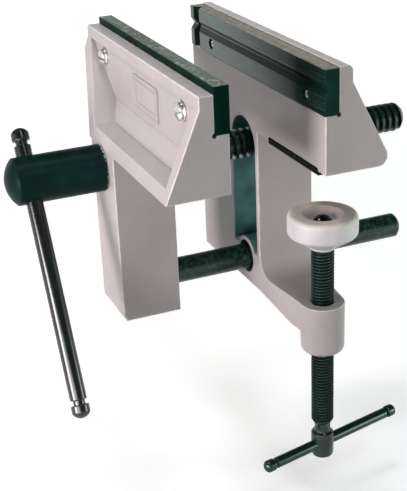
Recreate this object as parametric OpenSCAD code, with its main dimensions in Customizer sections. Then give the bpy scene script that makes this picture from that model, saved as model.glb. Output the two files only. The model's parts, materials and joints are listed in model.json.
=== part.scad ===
// Clamp-on table vise with wide jaws, an offset column and a table clamp.
// Frame: origin on the table seat at the clamp screw's axis, +X along the main screw away from
// the handle, +Y from the open side of the clamp towards the column, +Z up.

/* [Jaws] */
// Width of the jaws
jaw_w = 160; // [140:1:180]
// Gap between the two jaw plates as shown
opening = 46.2; // [20:0.1:60]
// Depth of the front jaw, the leg and the column behind their working faces
head_d = 32; // [30:0.5:38]
// Depth of the rear head at its foot
rear_foot_d = 36.5; // [33:0.5:40]
// Depth of a jaw at its top edge
head_top_d = 14.5; // [13:0.5:17]
// Height of the heads' underside above the table
foot_z = 2.2; // [1.5:0.1:3]
// Height where the sloping back of the front head starts
slope_z = 43.2; // [40:0.1:45]
// Height where the sloping back of the rear head starts
rear_slope_z = 45.2; // [42:0.1:47]
// Height of the front jaw's top edge
front_ledge_z = 49.2; // [47:0.1:51]
// Height of the rear jaw's top edge
rear_ledge_z = 53.2; // [51:0.1:54]
// Thickness of the wall behind a jaw plate
back_wall_t = 5.3; // [4:0.1:6]
// Height where the pocket's wall starts to lean forward
lean_z = 17.2; // [13:0.1:21]
// How far the pocket's wall leans forward at the shelf
lean_run = 5.6; // [3:0.1:8]
// Thickness of the shelf at the foot of a head
shelf_t = 6; // [5:0.5:8]
// Thickness of the end walls of a head
gusset_t = 6.5; // [5:0.5:8]
// Thickness of the front jaw's inclined far web
far_web_t = 4.5; // [3:0.5:6]
// Corner radius at the top of the rear head
top_round_r = 3; // [1:0.5:5]
// Corner radius at the foot of the rear head
foot_round_r = 5; // [3:0.5:8]

/* [Jaw plates] */
// Thickness of a jaw plate
plate_t = 7.5; // [6:0.5:8]
// Height of a jaw plate
plate_h = 22; // [21:0.5:24]
// Height of the plates' lower edge above the table
plate_z = 30.7; // [29:0.1:31.5]
// How far a plate stands proud of its casting
plate_proud = 0.5; // [0.2:0.1:1]
// Size of the relief groove in the inner corner of the plate's seat
relief_r = 1.2; // [0.8:0.1:1.6]
// Distance between a plate's two screws
plate_screw_gap = 112; // [90:1:120]
// Height of the plate screws above the plate's lower edge
plate_screw_rise = 5.9; // [5.5:0.1:6.5]
// Shift of the rear plate's screws towards the near end
rear_screw_shift = 4.8; // [0:0.1:8]
// Diameter of the plate screws
plate_screw_d = 5; // [4:0.5:5]
// Diameter of the chamfered mouths of the screws' holes
plate_mouth_d = 5.8; // [5.2:0.1:6]
// Depth of the screws' ends below the plate's working face
plate_screw_inset = 1.2; // [0.5:0.1:2]
// Diameter of the plate screws' heads
plate_head_d = 8.5; // [8:0.1:9]
// Height of the plate screws' heads with their domes
plate_head_h = 2.7; // [2:0.1:3.3]
// Diameter of the plate washers
plate_washer_d = 10; // [9:0.5:12]
// Thickness of the plate washers
plate_washer_t = 1; // [0.8:0.1:1.6]
// Width of the rear plate's long V-groove
vee_w = 6.2; // [5:0.1:7]
// Depth of the long V-groove
vee_depth = 2.1; // [1.5:0.1:3]
// Height of the long V-groove above the plate's lower edge
vee_rise = 12.2; // [12:0.1:15]
// Width of the rear plate's upright V-groove
upright_vee_w = 8; // [5:0.5:9]
// Depth of the upright V-groove
upright_vee_depth = 3.5; // [2:0.1:4]
// Distance of the upright V-groove from the far end of the plate
upright_vee_inset = 8.5; // [7:0.5:12]

/* [Column and leg] */
// Distance of the main screw from the near end of the jaws
screw_from_near = 93; // [85:1:98]
// Depth of the main screw's axis below the table seat
screw_drop = 8.8; // [8:0.1:13]
// Distance between the main screw and the guide rod
axes_gap = 66; // [60:1:72]
// Depth of the column's and the leg's lower end below the table seat
body_drop = 88.8; // [88:0.1:95]
// Width of the leg
leg_w = 38; // [37:1:44]
// Thickness of the leg's side walls
leg_wall_t = 5; // [4:0.5:6]
// Thickness of the leg's front wall
leg_front_t = 6; // [5:0.5:8]
// Width of the step along the leg's far front edge
leg_step_w = 4.5; // [3:0.5:6]
// Width of the step along the leg's lower front edge
leg_step_h = 2; // [1:0.5:4]
// Depth of those steps
leg_step_depth = 1; // [0.5:0.1:1.5]
// How far the bearing boss stays inside the working face
leg_boss_back = 9; // [7:0.5:12]
// Diameter of the leg's socket boss for the guide rod
socket_boss_d = 24; // [22:1:26]
// How far the socket boss stays inside the working face
socket_boss_back = 4; // [3:0.5:8]
// Thickness left in front of the guide rod's socket
socket_floor_t = 4; // [3:0.5:6]
// Thickness of the column's near wall
column_wall_t = 3.5; // [3:0.1:6]
// Width of the column's channel and of its slot
channel_w = 29.6; // [28:0.1:32]
// Thickness of the rib beside the channel
rib_t = 4; // [3:0.5:6]
// Distance of the column's far side from the far end of the jaws
column_far_inset = 6; // [4:0.5:10]
// Thickness of the column's front, far and lower walls
shell_t = 5.5; // [4:0.5:7]
// Corner radius at the column's lower far corner
column_round_r = 3; // [1:0.5:6]
// Corner radius of the column's far front edge
column_edge_r = 3; // [1:0.5:5]
// Distance of the nut boss behind the working face
nut_boss_front = 12; // [10:0.5:14]
// Outer diameter of the column's guide boss
guide_boss_d = 23; // [22:0.5:24]
// Gap between the slot's lower end and the guide rod's axis
slot_end_gap = 5; // [3:0.5:8]

/* [Main screw] */
// Diameter of the main screw's thread
spindle_d = 16; // [15:0.5:18]
// Diameter of the main screw's journal
journal_d = 14; // [12:0.5:14.5]
// Length of the main screw beyond the column's back
spindle_tail = 64; // [60:0.5:90]
// Chamfer at the main screw's end
spindle_chamfer = 2.5; // [1:0.5:3]
// Diameter of the hub
hub_d = 24.2; // [22:0.2:26]
// Length of the hub's cylinder
hub_l = 45; // [42:1:50]
// Height of the hub's domed end
dome_h = 5.2; // [4:0.1:9]
// Depth of the journal's socket in the hub
hub_socket = 25; // [20:1:27]
// Diameter of the hub's cross pin
hub_pin_d = 4; // [3:0.5:5]
// Diameter of the thrust washers
thrust_washer_d = 22; // [20:0.5:23.5]
// Thickness of the thrust washers
thrust_washer_t = 1.5; // [1:0.1:2]
// How far the front thrust washer stands proud of the leg
washer_proud = 0.4; // [0.3:0.1:0.8]

/* [Spindle nut] */
// Outer diameter of the nut's barrel
nut_d = 22; // [20:0.5:24]
// Thickness of the nut's flange
nut_flange_t = 4; // [3:0.5:5]
// Distance of the nut's flange from the column's back
nut_flange_inset = 2; // [1:0.5:4]
// Gap between the nut's flange and the channel's walls
nut_flange_gap = 0.8; // [0.5:0.1:1.5]
// Diameter of the pin that locks the nut
nut_pin_d = 4; // [3:0.5:5]
// How deep the pin goes into the nut's wall
nut_pin_depth = 2; // [1:0.5:2]

/* [Guide rod] */
// Diameter of the guide rod
rod_d = 14; // [12:0.5:15]
// Length of the guide rod beyond the column's back
rod_tail = 64; // [60:0.5:90]
// Chamfer at the guide rod's end
rod_chamfer = 2; // [0.5:0.5:3]
// Outer diameter of the guide bush
bush_d = 18; // [17:0.5:19]
// Depth of the bush below the column's front face
bush_recess = 6; // [1:0.5:8]
// Diameter of the rod's set screw
set_screw_d = 6; // [4:0.5:6]
// Length of the rod's set screw
set_screw_l = 8; // [6:0.5:8]

/* [Tommy bar] */
// Diameter of the tommy bar
bar_d = 8.5; // [8:0.1:9]
// Reach of the bar's long end from the main screw's axis
bar_long = 121; // [100:1:140]
// Reach of the bar's short end from the main screw's axis
bar_short = 26.7; // [25:0.1:40]
// Lean of the bar from upright
bar_lean = 30; // [0:1:45]
// Distance of the bar from the hub's dome
bar_inset = 7.5; // [6:0.1:9]
// Diameter of the bar's knobs
knob_d = 9.2; // [9.2:0.1:11]
// Length of the bar's knobs
knob_l = 6.8; // [6:0.1:10]
// Length of the neck behind a knob
neck_l = 2.4; // [1:0.1:3]
// Diameter of the neck
neck_d = 6; // [4:0.5:6.5]

/* [Table clamp] */
// Distance of the clamp screw from the near end of the jaws
clamp_from_near = 32; // [30:1:40]
// Table thickness between the pad and the disc as shown
table_gap = 30.2; // [15:0.1:45]
// Diameter of the clamp screw's thread
clamp_d = 12; // [10:0.5:13]
// Depth of the clamp screw's lower end below the table seat
clamp_drop = 172.8; // [170:0.1:190]
// Diameter of the clamp screw's neck
clamp_neck_d = 8.5; // [7:0.5:9]
// Length of the neck
clamp_neck_l = 7; // [5:0.5:12]
// Diameter of the clamp screw's head
clamp_head_d = 12.2; // [12:0.2:14]
// Length of the head
clamp_head_l = 15; // [12:0.5:17]
// Radius of the head's lower edge
clamp_head_r = 2; // [1:0.5:3]
// Diameter of the swivel disc
disc_d = 36; // [34:1:40]
// Height of the swivel disc
disc_h = 18.8; // [16:0.1:24]
// Height of the disc's straight rim
disc_rim_h = 10.5; // [8:0.5:12]
// Radius of the disc's upper edge
disc_edge_r = 2.5; // [1:0.5:4]
// Diameter of the disc's lower collar
disc_collar_d = 13.4; // [13:0.1:20]
// Height of the disc's lower collar
disc_collar_h = 1; // [0.8:0.1:3]
// Diameter of the dish in the disc
dish_d = 21; // [18:0.5:23]
// Depth of the dish
dish_depth = 4.4; // [4:0.1:6]
// Diameter of the dish's floor
dish_floor_d = 12; // [11:0.5:14]
// Diameter of the spigot that carries the disc
spigot_d = 8; // [7:0.5:9]
// Diameter of the retaining screw's dome
retainer_d = 10; // [9.5:0.1:10.5]
// Height of the retaining screw's dome
retainer_h = 3.4; // [2.5:0.1:3.6]
// Diameter of the retaining screw's shank
retainer_shank_d = 4; // [3:0.5:5]
// Length of the retaining screw's shank
retainer_shank_l = 10; // [6:0.5:12]

/* [Clamp bar] */
// Diameter of the clamp bar
tee_d = 6; // [5:0.1:6]
// Reach of the clamp bar's long end from the clamp screw's axis
tee_long = 53.5; // [45:0.5:60]
// Reach of the clamp bar's short end from the clamp screw's axis
tee_short = 40; // [30:0.5:45]
// Turn of the clamp bar about the clamp screw
tee_turn = 13; // [0:1:45]
// Diameter of the clamp bar's knobs
tee_knob_d = 6.8; // [6.7:0.1:8]
// Length of the clamp bar's knobs
tee_knob_l = 6.2; // [5:0.1:8]
// Length of the neck behind a knob
tee_neck_l = 1.4; // [1:0.1:2]
// Diameter of the neck
tee_neck_d = 4; // [3:0.5:4.5]

/* [Arm and table pad] */
// Height of the arm where it leaves the column
arm_h = 9.5; // [7:0.5:12]
// How much deeper the arm is at its boss
arm_deepen = 6; // [2:0.5:8]
// Radius of the clamp boss
boss_r = 11.5; // [10:0.5:13]
// Length of the clamp boss
boss_l = 28; // [22:0.5:30]
// Radius of the boss's lower edge
boss_edge_r = 3.5; // [2:0.5:5]
// Radius of the throat between column and arm
throat_r = 11; // [6:0.5:16]
// Thickness of the rubber table pad
pad_t = 3.8; // [3.4:0.1:5]
// Gap between the table pad and the column
pad_column_gap = 13.2; // [5:0.1:15]
// Distance of the table pad from the near end of the jaws
pad_inset = 8; // [6.5:0.5:12]
// Length of the table pad along the main screw
pad_d = 27.5; // [24:0.5:28]

/* [Clearances] */
// Radial clearance of turning and sliding fits
run_gap = 0.05; // [0.02:0.01:0.09]
// Radial clearance of fixed fits
seat_gap = 0.02; // [0.01:0.01:0.03]
// Axial play of the main screw and of the swivel disc
end_play = 0.2; // [0.1:0.05:0.4]

/* [Hidden] */
$fn = 64;
// Overlap of a cut past the face that it opens
past = 1;
// Overlap of a boss with the wall that carries it
boss_sink = 1;

// Places along the main screw
rear_x = -head_d / 2;
front_x = rear_x - opening;
column_back_x = rear_x + head_d;
leg_front_x = front_x - head_d;
leg_boss_x = front_x - leg_boss_back;
hub_back_x = leg_front_x - washer_proud;
hub_dome_x = hub_back_x - hub_l;
bar_x = hub_dome_x + bar_inset;
thread_x = leg_boss_x + thrust_washer_t + end_play;
spindle_end_x = column_back_x + spindle_tail;
rod_end_x = column_back_x + rod_tail;

// Places across the jaws
near_y = -clamp_from_near;
far_y = near_y + jaw_w;
mid_y = near_y + jaw_w / 2;
screw_y = near_y + screw_from_near;
leg_near_y = screw_y - leg_w / 2;
leg_far_y = screw_y + leg_w / 2;
channel_near_y = screw_y - channel_w / 2;
channel_far_y = screw_y + channel_w / 2;
column_near_y = channel_near_y - column_wall_t;
far_hollow_y = channel_far_y + rib_t;
column_far_y = far_y - column_far_inset;
pocket_near_y = near_y + gusset_t;
pocket_far_y = far_y - gusset_t;
front_screw_y = [mid_y - plate_screw_gap / 2, mid_y + plate_screw_gap / 2];
rear_screw_y = [for (y = front_screw_y) y - rear_screw_shift];

// Heights
screw_z = -screw_drop;
rod_z = screw_z - axes_gap;
body_z = -body_drop;
shelf_z = foot_z + shelf_t;
plate_screw_z = plate_z + plate_screw_rise;
arm_z = body_z + arm_h;
disc_z = -table_gap;
disc_low_z = disc_z - disc_h;
spigot_z = disc_z - dish_depth + end_play / 2;
shoulder_z = disc_low_z - end_play / 2;
clamp_low_z = -clamp_drop;
head_low_z = clamp_low_z + clamp_head_l;
neck_top_z = head_low_z + clamp_neck_l;
tee_z = clamp_low_z + clamp_head_l / 2;

// Depths from a working face
pocket_d = plate_t + back_wall_t;
column_d = [plate_proud + shell_t, rear_foot_d + past];
washer_seat_d = head_d + washer_proud - thrust_washer_t;

// Colours as the object shows them
paint = [0.72, 0.68, 0.68];
black_steel = [0.09, 0.12, 0.11];
zinc = [0.78, 0.78, 0.76];
bronze = [0.66, 0.50, 0.28];
rubber = [0.05, 0.05, 0.05];
nylon = [0.90, 0.88, 0.86];

// Frames of the two jaws: x is the depth from the working face into the casting
module front_frame() { translate([front_x, 0, 0]) mirror([1, 0, 0]) children(); }
module rear_frame() { translate([rear_x, 0, 0]) children(); }

// Solid from a side view, drawn in depth and height, between two places across the jaws
module across(y0, y1) {
    translate([0, y1, 0]) rotate([90, 0, 0]) linear_extrude(y1 - y0) children();
}

// Solid from a front view, drawn in y and height, between two depths
module deep(d0, d1) {
    translate([d0, 0, 0]) rotate([90, 0, 90]) linear_extrude(d1 - d0) children();
}

// Block between two corners
module block(low, high) { translate(low) cube(high - low); }

// Round bar along x between two places
module x_bar(x0, x1, r) { translate([x0, 0, 0]) rotate([0, 90, 0]) cylinder(r = r, h = x1 - x0); }

// Round cone along x between two places
module x_cone(x0, x1, r0, r1) {
    translate([x0, 0, 0]) rotate([0, 90, 0]) cylinder(r1 = r0, r2 = r1, h = x1 - x0);
}

// Bar turned about x from one half profile of radii and places
module x_turned(profile) { rotate([0, 90, 0]) rotate_extrude() polygon(profile); }

function unit(v) = v / norm(v);

// Centre and tangent points of a round corner at p between neighbours a and b
function corner_half(a, p, b) = acos(unit(a - p) * unit(b - p)) / 2;
function corner_centre(a, p, b, r) =
    p + unit(unit(a - p) + unit(b - p)) * r / sin(corner_half(a, p, b));
function corner_touch(from, p, half, r) = p + unit(from - p) * r / tan(half);

// Polygon whose convex corners are rounded by their own radii
module rounded_polygon(points, radii) {
    n = len(points);
    before = [for (i = [0:n - 1]) points[(i + n - 1) % n]];
    after = [for (i = [0:n - 1]) points[(i + 1) % n]];
    polygon([for (i = [0:n - 1])
        let (p = points[i], r = radii[i], half = corner_half(before[i], p, after[i]))
        each r == 0 ? [p] : [
            corner_touch(before[i], p, half, r),
            corner_centre(before[i], p, after[i], r),
            corner_touch(after[i], p, half, r)
        ]]);
    for (i = [0:n - 1])
        if (radii[i] > 0)
            let (p = points[i], r = radii[i], half = corner_half(before[i], p, after[i]),
                centre = corner_centre(before[i], p, after[i], r))
            intersection() {
                translate(centre) circle(r);
                polygon([centre, corner_touch(before[i], p, half, r), p,
                    corner_touch(after[i], p, half, r)]);
            }
}

// Side view of a head: seat for the plate at the front, sloping back
module head_profile(ledge_z, bend_z, foot_d, top_r, foot_r) {
    rounded_polygon([
        [plate_proud, foot_z], [plate_proud, plate_z], [plate_t, plate_z], [plate_t, ledge_z],
        [head_top_d, ledge_z], [head_top_d, bend_z], [foot_d, foot_z]
    ], [0, 0, 0, 0, top_r, 0, foot_r]);
}

// Side view of the pocket in a head, open along the sloping back
module pocket_profile(bend_z, foot_d, floor_z) {
    polygon([
        [pocket_d, bend_z], [pocket_d, lean_z], [pocket_d + lean_run, floor_z],
        [foot_d + past, floor_z], [foot_d + past, bend_z]
    ]);
}

// Relief groove in the inner corner of the plate's seat
module seat_relief() {
    across(near_y - past, far_y + past) translate([plate_t, plate_z]) circle(relief_r);
}

// Holes for the plate screws through the wall behind the plate
module plate_screw_holes(places) {
    for (y = places)
        translate([0, y, plate_screw_z])
            x_bar(plate_t - past, pocket_d + past, plate_screw_d / 2 + seat_gap);
}

// Front jaw

// Front view of the front head: full height at the near end, inclined under the far end
module front_head_outline() {
    rise = (slope_z - foot_z) / (far_y - leg_far_y);
    polygon([
        [near_y, foot_z], [near_y, front_ledge_z], [far_y, front_ledge_z],
        [far_y, slope_z - far_web_t / cos(atan(rise))], [leg_far_y, foot_z]
    ]);
}

// Front view of the front pocket, whose far side is the inclined web
module front_pocket_outline() {
    polygon([
        [pocket_near_y, shelf_z], [leg_far_y - far_web_t / 2, shelf_z],
        [far_y - far_web_t, slope_z], [pocket_near_y, slope_z]
    ]);
}

module front_head() {
    difference() {
        intersection() {
            across(near_y, far_y) head_profile(front_ledge_z, slope_z, head_d, 0, 0);
            deep(0, head_d) front_head_outline();
        }
        intersection() {
            across(pocket_near_y, far_y) pocket_profile(slope_z, head_d, shelf_z);
            deep(0, head_d + past) front_pocket_outline();
        }
        seat_relief();
        plate_screw_holes(front_screw_y);
    }
}

// Hollow of the leg, open towards the rear jaw, with an arch over the main screw
module leg_hollow(front_d) {
    half_w = leg_w / 2 - leg_wall_t;
    block([plate_proud - past, screw_y - half_w, body_z + leg_wall_t],
        [front_d, screw_y + half_w, screw_z]);
    translate([0, screw_y, screw_z]) x_bar(plate_proud - past, front_d, half_w);
}

// Leg below the head with its bearing boss and its socket boss
module leg_shell() {
    front_d = head_d - leg_front_t;
    difference() {
        block([plate_proud, leg_near_y, body_z], [head_d, leg_far_y, foot_z]);
        leg_hollow(front_d);
        block(
            [head_d - leg_step_depth, leg_far_y - leg_step_w, body_z - past],
            [head_d + past, leg_far_y + past, foot_z]);
        block(
            [head_d - leg_step_depth, leg_near_y - past, body_z - past],
            [head_d + past, leg_far_y + past, body_z + leg_step_h]);
    }
    translate([0, screw_y, screw_z])
        x_bar(leg_boss_back, front_d, leg_w / 2 - leg_wall_t + boss_sink);
    translate([0, screw_y, rod_z]) x_bar(socket_boss_back, front_d, socket_boss_d / 2);
}

// Where the set screw enters the leg from below
set_screw_depth = head_d - leg_front_t - set_screw_d;

module front_jaw_body() {
    color(paint) front_frame() difference() {
        union() {
            difference() {
                front_head();
                leg_hollow(head_d - leg_front_t);
            }
            leg_shell();
        }
        translate([0, screw_y, screw_z])
            x_bar(leg_boss_back - past, head_d + past, journal_d / 2 + run_gap);
        translate([0, screw_y, screw_z])
            x_bar(washer_seat_d, head_d + past, thrust_washer_d / 2 + seat_gap);
        translate([0, screw_y, rod_z])
            x_bar(socket_boss_back - past, head_d - socket_floor_t, rod_d / 2 + seat_gap);
        translate([set_screw_depth, screw_y, body_z - past])
            cylinder(d = set_screw_d + 2 * seat_gap, h = rod_z - body_z + past);
    }
}

module plate_blank() { block([0, near_y, plate_z], [plate_t, far_y, plate_z + plate_h]); }

// Screw holes through a plate, with chamfered mouths in its working face
module plate_screw_seats(places) {
    r = plate_screw_d / 2 + seat_gap;
    mouth_r = plate_mouth_d / 2;
    for (y = places)
        translate([0, y, plate_screw_z]) {
            x_bar(-past, plate_t + past, r);
            x_cone(-past, mouth_r - r, mouth_r + past, r);
        }
}

// Depth at which a plate screw's head bears on its washer
plate_head_d0 = pocket_d + plate_washer_t;
plate_dome_h = 0.55 * plate_head_h;

// Screws from the pocket side with domed heads
module plate_screws(places) {
    for (y = places)
        translate([0, y, plate_screw_z]) {
            x_bar(plate_screw_inset, plate_head_d0 + past, plate_screw_d / 2);
            translate([plate_head_d0, 0, 0]) rotate([0, 90, 0]) rotate_extrude()
                domed_half(plate_head_d / 2, plate_head_h - plate_dome_h, plate_dome_h);
        }
}

module plate_washers(places) {
    for (y = places)
        translate([0, y, plate_screw_z]) difference() {
            x_bar(pocket_d, plate_head_d0, plate_washer_d / 2);
            x_bar(0, plate_head_d0 + past, plate_screw_d / 2 + seat_gap);
        }
}

module front_jaw_plate() {
    color(black_steel) front_frame() difference() {
        plate_blank();
        plate_screw_seats(front_screw_y);
    }
}

module front_plate_screws() { color(zinc) front_frame() plate_screws(front_screw_y); }
module front_plate_washers() { color(zinc) front_frame() plate_washers(front_screw_y); }

// Rear jaw

// Front view of the column from its near wall to its far wall
module column_outline() {
    rounded_polygon([
        [column_near_y, body_z], [column_near_y, foot_z], [column_far_y, foot_z],
        [column_far_y, body_z]
    ], [0, 0, 0, column_round_r]);
}

// Plan of the column with its rounded far front edge
module column_plan() {
    translate([0, 0, body_z - past]) linear_extrude(foot_z - body_z + 2 * past) rounded_polygon([
        [plate_proud, column_near_y - past], [plate_proud, column_far_y],
        [head_d + past, column_far_y], [head_d + past, column_near_y - past]
    ], [0, column_edge_r, 0, 0]);
}

// Point where a line from p touches the clamp boss, on the side that turn gives
function boss_touch(p, turn) =
    let (a = atan2(p[1], p[0]) + turn * acos(boss_r / norm(p))) boss_r * [cos(a), sin(a)];

// Plan of the arm: from the column's width to tangents on the clamp boss
module arm_plan() {
    front = [rear_x + plate_proud, column_near_y];
    back = [column_back_x, column_near_y];
    root = [0, column_wall_t];
    polygon([front + root, front, boss_touch(front, 1), [0, 0], boss_touch(back, -1), back,
        back + root]);
    circle(boss_r);
}

// Side view of the arm along y and height, with the throat's fillet
module arm_profile() {
    low_tip_z = body_z - arm_deepen;
    polygon([
        [column_near_y + column_wall_t, body_z], [column_near_y, body_z], [boss_r, low_tip_z],
        [-boss_r, low_tip_z], [-boss_r, arm_z], [column_near_y + column_wall_t, arm_z]
    ]);
    difference() {
        translate([column_near_y - throat_r, arm_z])
            square([throat_r + column_wall_t, throat_r]);
        translate([column_near_y - throat_r, arm_z + throat_r]) circle(throat_r);
    }
}

module arm() {
    intersection() {
        translate([0, 0, body_z - arm_deepen]) linear_extrude(body_drop) arm_plan();
        deep(rear_x, column_back_x) arm_profile();
    }
    translate([0, 0, arm_z]) mirror([0, 0, 1]) rotate_extrude()
        intersection() {
            rounded_polygon([[-boss_r, 0], [-boss_r, boss_l], [boss_r, boss_l], [boss_r, 0]],
                [0, boss_edge_r, boss_edge_r, 0]);
            square([boss_r + past, boss_l + past]);
        }
}

// Hollows of the head and the column, all open at the back
module rear_hollows() {
    low_z = body_z + shell_t;
    for (span = [[pocket_near_y, column_near_y], [channel_near_y, channel_far_y],
        [far_hollow_y, pocket_far_y]])
        across(span[0], span[1]) pocket_profile(rear_slope_z, rear_foot_d, rear_shelf_z);
    block([column_d[0], channel_near_y, low_z], [column_d[1], channel_far_y, screw_z]);
    translate([0, screw_y, screw_z]) x_bar(column_d[0], column_d[1], channel_w / 2);
    block([column_d[0], far_hollow_y, low_z],
        [column_d[1], column_far_y - shell_t, foot_z]);
}

// Depth of the table pad's recess in the head's underside, and the shelf above it
pad_recess = pad_t - foot_z;
rear_shelf_z = foot_z + shelf_t + pad_recess;

module rear_shell() {
    difference() {
        union() {
            across(near_y, far_y)
                head_profile(rear_ledge_z, rear_slope_z, rear_foot_d, top_round_r, foot_round_r);
            intersection() {
                deep(plate_proud, head_d) column_outline();
                column_plan();
            }
        }
        rear_hollows();
        // Arched slot in the column's front wall
        deep(0, column_d[0] + past) {
            translate([screw_y, screw_z]) circle(channel_w / 2);
            translate([channel_near_y, rod_z + slot_end_gap])
                square([channel_w, axes_gap - slot_end_gap]);
        }
        // Recess for the table pad, open at the front
        block([0, pad_near_y - seat_gap, foot_z - past],
            [plate_proud + pad_d + seat_gap, pad_far_y + seat_gap, foot_z + pad_recess]);
        seat_relief();
        plate_screw_holes(rear_screw_y);
    }
}

// The table pad lies between the near end of the jaws and a gap beside the column
pad_near_y = near_y + pad_inset;
pad_far_y = column_near_y - pad_column_gap;

// Bosses in the column's channel
module rear_bosses() {
    translate([0, screw_y, screw_z])
        x_bar(nut_boss_front, nut_boss_back, channel_w / 2 + boss_sink);
    translate([0, screw_y, rod_z]) x_bar(plate_proud, head_d, guide_boss_d / 2);
}

// Depth of the nut boss's rear face, and place of the nut's pin along it
nut_boss_back = head_d - nut_flange_t - nut_flange_inset;
nut_pin_d0 = (nut_boss_front + nut_boss_back) / 2;

// The nut's pin goes from below the boss into the nut's wall
nut_pin_low_z = screw_z - channel_w / 2 - boss_sink;
nut_pin_high_z = screw_z - nut_d / 2 + nut_pin_depth;

module nut_pin_shape(r) {
    translate([rear_x + nut_pin_d0, screw_y, nut_pin_low_z])
        cylinder(r = r, h = nut_pin_high_z - nut_pin_low_z);
}

module rear_jaw_body() {
    color(paint) difference() {
        union() {
            rear_frame() rear_shell();
            rear_frame() rear_bosses();
            arm();
        }
        rear_frame() {
            translate([0, screw_y, screw_z])
                x_bar(nut_boss_front - past, head_d + past, nut_d / 2 + seat_gap);
            translate([0, screw_y, rod_z]) x_bar(0, head_d + past, bush_d / 2 + seat_gap);
        }
        translate([0, 0, -past]) nut_pin_shape(nut_pin_d / 2 + seat_gap);
        nut_pin_shape(nut_pin_d / 2 + seat_gap);
        translate([0, 0, arm_z - boss_l - past])
            cylinder(d = clamp_d + 2 * run_gap, h = boss_l + 2 * past);
    }
}

// V-groove cut along a line, drawn as a triangle in depth and offset
module vee(width, depth) { polygon([[0, -width / 2], [depth, 0], [0, width / 2]]); }

module rear_jaw_plate() {
    color(black_steel) rear_frame() difference() {
        plate_blank();
        plate_screw_seats(rear_screw_y);
        across(near_y - past, far_y + past)
            translate([0, plate_z + vee_rise]) vee(vee_w, vee_depth);
        translate([0, far_y - upright_vee_inset, plate_z - past])
            linear_extrude(plate_h + 2 * past) vee(upright_vee_w, upright_vee_depth);
    }
}

module rear_plate_screws() { color(zinc) rear_frame() plate_screws(rear_screw_y); }
module rear_plate_washers() { color(zinc) rear_frame() plate_washers(rear_screw_y); }

module table_pad() {
    color(rubber) rear_frame()
        block([plate_proud, pad_near_y, 0], [plate_proud + pad_d, pad_far_y, pad_t]);
}

module spindle_nut() {
    color(bronze) translate([0, screw_y, screw_z]) difference() {
        rear_frame() {
            x_bar(nut_boss_front, nut_boss_back, nut_d / 2);
            x_bar(nut_boss_back, nut_boss_back + nut_flange_t, channel_w / 2 - nut_flange_gap);
        }
        x_bar(rear_x, column_back_x, spindle_d / 2 + run_gap);
        translate([0, -screw_y, -screw_z]) nut_pin_shape(nut_pin_d / 2 + seat_gap);
    }
}

module nut_lock_pin() { color(zinc) nut_pin_shape(nut_pin_d / 2); }

module guide_bush() {
    color(bronze) rear_frame() translate([0, screw_y, rod_z]) difference() {
        x_bar(plate_proud + bush_recess, head_d, bush_d / 2);
        x_bar(0, head_d + past, rod_d / 2 + run_gap);
    }
}

// Guide rod and main screw

module guide_rod() {
    r = rod_d / 2;
    start_x = leg_front_x + socket_floor_t;
    color(black_steel) translate([0, screw_y, rod_z]) x_turned([
        [0, start_x], [r, start_x], [r, rod_end_x - rod_chamfer], [r - rod_chamfer, rod_end_x], [0, rod_end_x]
    ]);
}

module guide_rod_set_screw() {
    color(zinc) front_frame() translate([set_screw_depth, screw_y, rod_z - rod_d / 2])
        mirror([0, 0, 1]) cylinder(d = set_screw_d, h = set_screw_l - rod_d / 4);
}

module thrust_washer(x) {
    translate([0, screw_y, screw_z]) difference() {
        x_bar(x, x + thrust_washer_t, thrust_washer_d / 2);
        x_bar(x - past, x + thrust_washer_t + past, journal_d / 2 + run_gap);
    }
}

module front_thrust_washer() { color(zinc) thrust_washer(hub_back_x); }
module rear_thrust_washer() { color(zinc) thrust_washer(leg_boss_x); }

module spindle() {
    r = spindle_d / 2;
    journal_r = journal_d / 2;
    start_x = hub_back_x - hub_socket;
    color(black_steel) translate([0, screw_y, screw_z]) difference() {
        x_turned([
            [0, start_x], [journal_r, start_x], [journal_r, thread_x], [r, thread_x],
            [r, spindle_end_x - spindle_chamfer], [r - spindle_chamfer, spindle_end_x], [0, spindle_end_x]
        ]);
        hub_pin_hole();
    }
}

hub_pin_x = hub_back_x - hub_socket / 2;

// Turns a piece from upright to the tommy bar's lean
module leaning() { rotate([-bar_lean, 0, 0]) children(); }

module hub_pin_hole() {
    translate([hub_pin_x, 0, -hub_d]) cylinder(d = hub_pin_d + 2 * seat_gap, h = 2 * hub_d);
}

// Half section of a round bar with a domed end
module domed_half(r, l, rise) {
    dome_r = (pow(r, 2) + pow(rise, 2)) / (2 * rise);
    square([r, l]);
    intersection() {
        translate([0, l + rise - dome_r]) circle(dome_r);
        translate([0, l - past]) square([r, rise + past]);
    }
}

module spindle_hub() {
    color(black_steel) translate([0, screw_y, screw_z]) difference() {
        translate([hub_back_x, 0, 0]) rotate([0, -90, 0])
            rotate_extrude() domed_half(hub_d / 2, hub_l, dome_h);
        x_bar(hub_back_x - hub_socket, hub_back_x + past, journal_d / 2 + seat_gap);
        hub_pin_hole();
        leaning() translate([bar_x, 0, -hub_d]) cylinder(d = bar_d + 2 * run_gap, h = 2 * hub_d);
    }
}

module hub_pin() {
    pin_half = sqrt(pow(hub_d / 2, 2) - pow(hub_pin_d / 2, 2));
    color(zinc) translate([hub_pin_x, screw_y, screw_z - pin_half])
        cylinder(d = hub_pin_d, h = 2 * pin_half);
}

// Bars with pressed-on knobs, drawn upright about their own axis

// Bar between two knobs: full diameter, a neck and a spigot inside each knob
module bar_core(low, high, d, knob, neck, spigot) {
    body_low = low + knob + neck;
    body_high = high - knob - neck;
    translate([0, 0, body_low]) cylinder(d = d, h = body_high - body_low);
    translate([0, 0, low + knob / 2]) cylinder(d = spigot, h = high - low - knob);
}

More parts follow.
